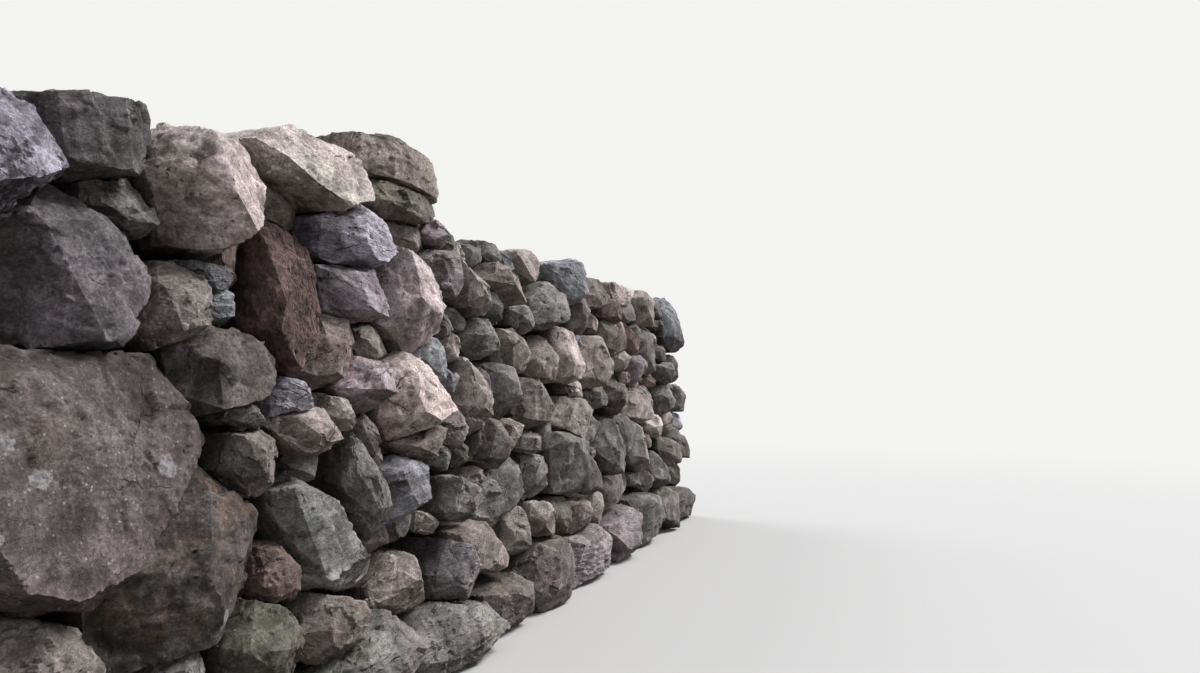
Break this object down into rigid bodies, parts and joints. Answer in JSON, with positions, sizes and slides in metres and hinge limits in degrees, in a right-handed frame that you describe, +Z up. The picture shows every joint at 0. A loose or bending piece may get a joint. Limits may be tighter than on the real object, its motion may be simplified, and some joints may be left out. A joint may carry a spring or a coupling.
{
  "type": "dry stone retaining wall",
  "caption": "Battered dry stone retaining wall of random rubble, from large boulders at one end to small stones at the other, with a packed core, footing, cover and cap stones.",
  "frame": {"origin": "on the ground, in the middle of the wall's length and of its thickness at the foot", "axes": "+X along the wall from the end with the great boulder to the far end, -Y out of the face, +Z up"},
  "size_m": [6.0972, 0.9847, 2.0209],
  "materials": {
    "grey_stone": "rough broken gneiss with pale lichen specks",
    "tan_stone": "weathered tan stone, softly rounded",
    "rust_stone": "iron stained, layered and pitted",
    "slate_stone": "blue grey, fine grained, split faces",
    "pale_stone": "pale weathered slab with ochre stains",
    "olive_stone": "dark stone under a thin coat of moss",
    "brown_stone": "brown grey boulder with lichen rings",
    "mauve_stone": "mauve grey, faintly banded",
    "mixed_stone": "rubble of all these colours, stone by stone",
    "hearting_stone": "small broken stone, dark with soil"
  },
  "bodies": {
    "root": {"speckled_end_stone": "grey_stone", "dark_cap_block": "brown_stone", "tan_boulder": "tan_stone", "pale_cap_slab": "pale_stone", "mossy_cap_stone": "olive_stone", "blue_grey_stone": "slate_stone", "grey_wedge_stone": "grey_stone", "rust_upright_stone": "rust_stone", "mauve_stone": "mauve_stone", "brown_flank_stone": "tan_stone", "grey_rounded_stone": "grey_stone", "rust_rough_stone": "rust_stone", "ledge_stone": "mauve_stone", "great_boulder": "brown_stone", "pink_tan_stone": "tan_stone", "base_boulder": "brown_stone", "pale_leaning_slab": "pale_stone", "long_grey_stone": "grey_stone", "dark_ledge_stone": "slate_stone", "tan_block": "tan_stone", "pink_stone": "pale_stone", "orange_stone": "rust_stone", "pale_far_stone": "pale_stone", "footing_stones": "mixed_stone", "face_stones_bay_1": "mixed_stone", "face_stones_bay_2": "mixed_stone", "face_stones_bay_3": "mixed_stone", "face_stones_bay_4": "mixed_stone", "face_stones_bay_5": "mixed_stone", "face_stones_bay_6": "mixed_stone", "back_stones_lower": "mixed_stone", "back_stones_middle": "mixed_stone", "back_stones_upper": "mixed_stone", "near_end_stones": "mixed_stone", "far_end_stones": "mixed_stone", "cover_stones": "mixed_stone", "hearting": "hearting_stone"}
  },
  "joints": []
}
